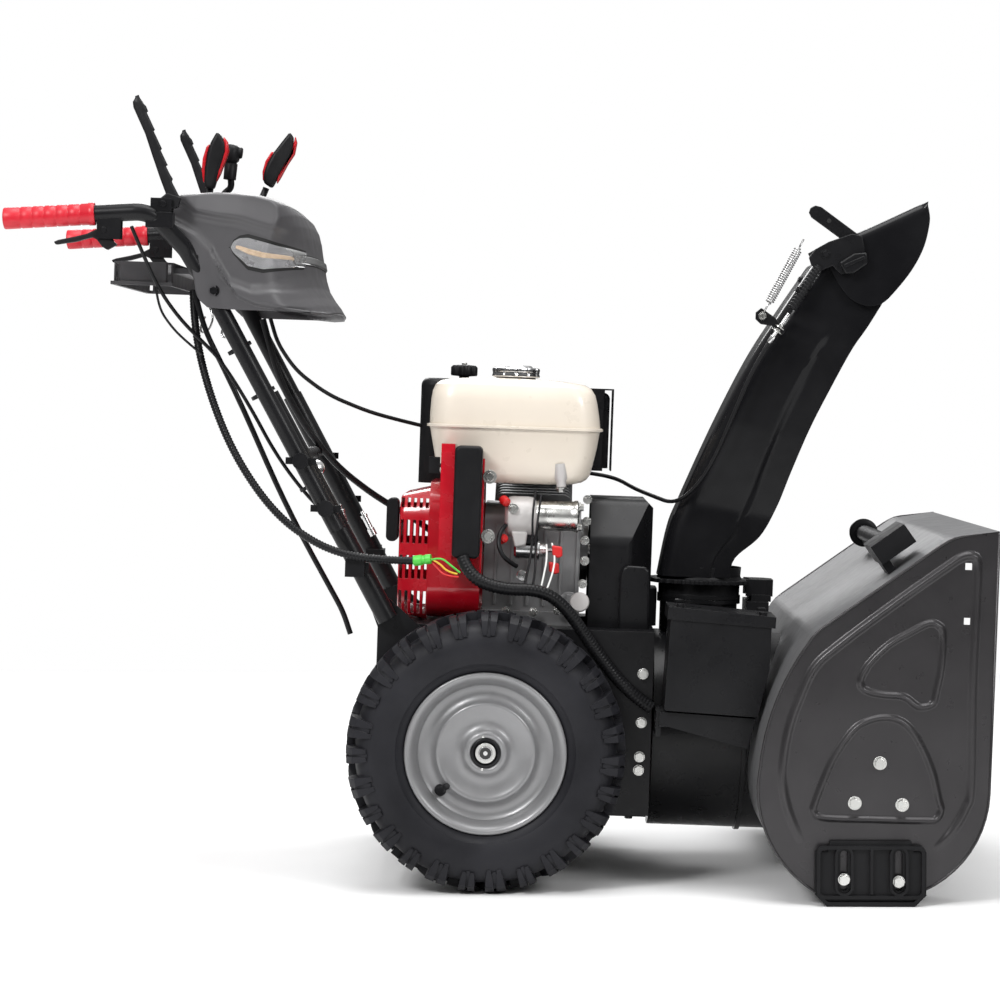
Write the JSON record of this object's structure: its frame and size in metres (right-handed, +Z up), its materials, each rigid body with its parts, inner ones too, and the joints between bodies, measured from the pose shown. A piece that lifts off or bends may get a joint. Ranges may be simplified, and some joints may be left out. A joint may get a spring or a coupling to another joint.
{
  "type": "snow blower",
  "caption": "Walk-behind petrol snow blower with wide auger housing, tall swivelling discharge chute, lugged wheels and lever control panel",
  "frame": {"origin": "on the ground, under the middle of the machine's overall length and width", "axes": "+X forward, the way the auger housing faces; +Y to the machine's left; +Z up"},
  "size_m": [1.3964, 0.7976, 1.1397],
  "materials": {
    "housing_sheet": "satin dark grey powder coat",
    "side_plate": "metallic charcoal paint, semi-gloss",
    "black_steel": "gloss black powder coat",
    "chute_plastic": "gloss black moulded plastic",
    "black_plastic": "black moulded plastic, lightly grained",
    "dash_plastic": "charcoal grained moulded plastic",
    "red_paint": "gloss red enamel",
    "tank_paint": "cream enamel",
    "cast_aluminium": "die-cast aluminium",
    "zinc_steel": "zinc-plated steel",
    "bright_steel": "bright turned steel",
    "cap_chrome": "chromed pressing",
    "rim_paint": "silver-grey paint",
    "tyre_rubber": "black moulded rubber",
    "belt_rubber": "black rubber",
    "grip_red": "red soft-touch rubber",
    "lens": "clear moulded lens over warm light strip",
    "cable_black": "black PVC cable jacket",
    "lever_plastic": "black soft-touch plastic with red edge",
    "impeller_paint": "red paint, worn at the blade edges",
    "auger_paint": "black paint, worn at the flight edges"
  },
  "bodies": {
    "machine": {"auger_housing": "housing_sheet", "side_plates": "side_plate", "scraper_bar": "black_steel", "impeller_drum": "black_steel", "skid_shoes": "black_plastic", "bearings": "cast_aluminium", "machine_bolts": "zinc_steel", "auger_gearbox": "cast_aluminium", "chassis_frame": "black_steel", "transmission_case": "cast_aluminium", "drive_belts": "belt_rubber", "belt_cover": "black_steel", "battery_box": "black_steel", "battery_lid": "black_steel", "battery": "black_plastic", "engine_block": "cast_aluminium", "cylinder": "cast_aluminium", "fan_shroud": "red_paint", "recoil_cover": "red_paint", "fuel_tank": "tank_paint", "carburettor_cover": "black_plastic", "muffler": "black_steel", "starter_motor": "cast_aluminium", "control_box": "black_plastic", "handle_tubes": "black_steel", "handle_brackets": "black_steel", "grips": "grip_red", "dash_housing": "dash_plastic", "headlight_lens": "lens", "dash_tray": "dash_plastic", "control_cables": "cable_black", "wiring_loom": "cable_black", "clean_out_tool": "black_plastic", "chute_gear_cover": "black_plastic"},
    "auger": {"auger": "auger_paint"},
    "impeller": {"impeller": "impeller_paint"},
    "crankshaft": {"crankshaft": "bright_steel"},
    "friction_disc": {"friction_disc": "cast_aluminium"},
    "friction_wheel": {"friction_wheel": "belt_rubber"},
    "wheel_right": {"tyre_right": "tyre_rubber", "rim_right": "rim_paint", "half_axle_right": "bright_steel"},
    "wheel_left": {"tyre_left": "tyre_rubber", "rim_left": "rim_paint", "half_axle_left": "bright_steel"},
    "recoil_handle": {"recoil_handle": "black_plastic"},
    "fuel_cap": {"fuel_cap": "cap_chrome"},
    "choke_knob": {"choke_knob": "black_plastic"},
    "key_switch": {"key_switch": "black_plastic"},
    "chute": {"chute": "chute_plastic", "deflector_spring": "zinc_steel", "deflector_cable": "cable_black"},
    "deflector": {"deflector": "chute_plastic"},
    "chute_joystick": {"chute_joystick": "lever_plastic"},
    "deflector_lever": {"deflector_lever": "lever_plastic"},
    "speed_lever": {"speed_lever": "lever_plastic"},
    "clutch_lever_right": {"clutch_lever_right": "lever_plastic"},
    "clutch_lever_left": {"clutch_lever_left": "lever_plastic"},
    "steering_trigger_right": {"steering_trigger_right": "lever_plastic"},
    "steering_trigger_left": {"steering_trigger_left": "lever_plastic"}
  },
  "joints": [
    {"name": "impeller_spin", "type": "hinge", "parent": "machine", "child": "impeller", "pos_m": [0.29494, 0, 0.20724], "axis": [0.9994, 0, -0.0349], "continuous": true},
    {"name": "auger_spin", "type": "hinge", "parent": "machine", "child": "auger", "pos_m": [0.53443, 0, 0.15985], "axis": [0, 1, 0], "continuous": true},
    {"name": "crankshaft_spin", "type": "hinge", "parent": "machine", "child": "crankshaft", "pos_m": [-0.0038, 0, 0.47783], "axis": [0.9994, 0, -0.0349], "continuous": true},
    {"name": "friction_disc_spin", "type": "hinge", "parent": "machine", "child": "friction_disc", "pos_m": [0.06889, 0, 0.26716], "axis": [0.9994, 0, -0.0349], "continuous": true},
    {"name": "friction_wheel_slide", "type": "slide", "parent": "machine", "child": "friction_wheel", "axis": [0, 1, 0], "range_m": [-0.031, 0.031]},
    {"name": "right_wheel_spin", "type": "hinge", "parent": "machine", "child": "wheel_right", "pos_m": [-0.0135, -0.249, 0.2], "axis": [0, 1, 0], "continuous": true},
    {"name": "left_wheel_spin", "type": "hinge", "parent": "machine", "child": "wheel_left", "pos_m": [-0.0135, 0.249, 0.2], "axis": [0, 1, 0], "continuous": true},
    {"name": "recoil_pull", "type": "slide", "parent": "machine", "child": "recoil_handle", "axis": [-0.9994, 0, 0.0349], "range_m": [0, 0.6], "stiffness_N_per_m": 20},
    {"name": "fuel_cap_turn", "type": "hinge", "parent": "machine", "child": "fuel_cap", "pos_m": [0.02733, -0.06, 0.7389], "axis": [0.0349, 0, 0.9994], "range_deg": [0, 90]},
    {"name": "choke_turn", "type": "hinge", "parent": "machine", "child": "choke_knob", "pos_m": [-0.05562, 0.15, 0.7418], "axis": [0.0349, 0, 0.9994], "range_deg": [0, 70]},
    {"name": "key_turn", "type": "hinge", "parent": "machine", "child": "key_switch", "pos_m": [-0.06936, -0.19, 0.6062], "axis": [-0.9994, 0, 0.0349], "range_deg": [0, 60]},
    {"name": "chute_rotate", "type": "hinge", "parent": "machine", "child": "chute", "pos_m": [0.30269, 0, 0.42911], "axis": [0.0349, 0, 0.9994], "range_deg": [-100, 100], "deforming": ["deflector_cable"]},
    {"name": "deflector_tilt", "type": "hinge", "parent": "chute", "child": "deflector", "pos_m": [0.52543, 0, 0.93364], "axis": [0, 1, 0], "range_deg": [0, 50]},
    {"name": "joystick_swing", "type": "hinge", "parent": "machine", "child": "chute_joystick", "pos_m": [-0.41776, 0, 0.94456], "axis": [0.9994, 0, -0.0349], "range_deg": [-10.5, 10.5]},
    {"name": "deflector_lever_swing", "type": "hinge", "parent": "machine", "child": "deflector_lever", "pos_m": [-0.38995, 0.06, 0.93859], "axis": [0, 1, 0], "range_deg": [-30, 0]},
    {"name": "speed_lever_swing", "type": "hinge", "parent": "machine", "child": "speed_lever", "pos_m": [-0.43393, -0.06, 0.94012], "axis": [0, 1, 0], "range_deg": [-18, 18]},
    {"name": "clutch_lever_right_squeeze", "type": "hinge", "parent": "machine", "child": "clutch_lever_right", "pos_m": [-0.46861, -0.281, 0.97836], "axis": [0, -1, 0], "range_deg": [0, 58], "stiffness_Nm_per_rad": 1.5},
    {"name": "clutch_lever_left_squeeze", "type": "hinge", "parent": "machine", "child": "clutch_lever_left", "pos_m": [-0.46861, 0.281, 0.97836], "axis": [0, -1, 0], "range_deg": [0, 58], "stiffness_Nm_per_rad": 1.5},
    {"name": "steering_trigger_right_pull", "type": "hinge", "parent": "machine", "child": "steering_trigger_right", "pos_m": [-0.55196, -0.29, 0.94124], "axis": [0, 1, 0], "range_deg": [0, 8], "stiffness_Nm_per_rad": 1},
    {"name": "steering_trigger_left_pull", "type": "hinge", "parent": "machine", "child": "steering_trigger_left", "pos_m": [-0.55196, 0.29, 0.94124], "axis": [0, 1, 0], "range_deg": [0, 8], "stiffness_Nm_per_rad": 1}
  ],
  "couplings": [
    {"joint": "auger_spin", "follows": "impeller_spin", "ratio": 0.1},
    {"joint": "joystick_swing", "follows": "chute_rotate", "ratio": 0.1},
    {"joint": "deflector_lever_swing", "follows": "deflector_tilt", "ratio": -0.58},
    {"joint": "friction_wheel_slide", "follows": "speed_lever_swing", "m_per_rad": 0.09}
  ]
}
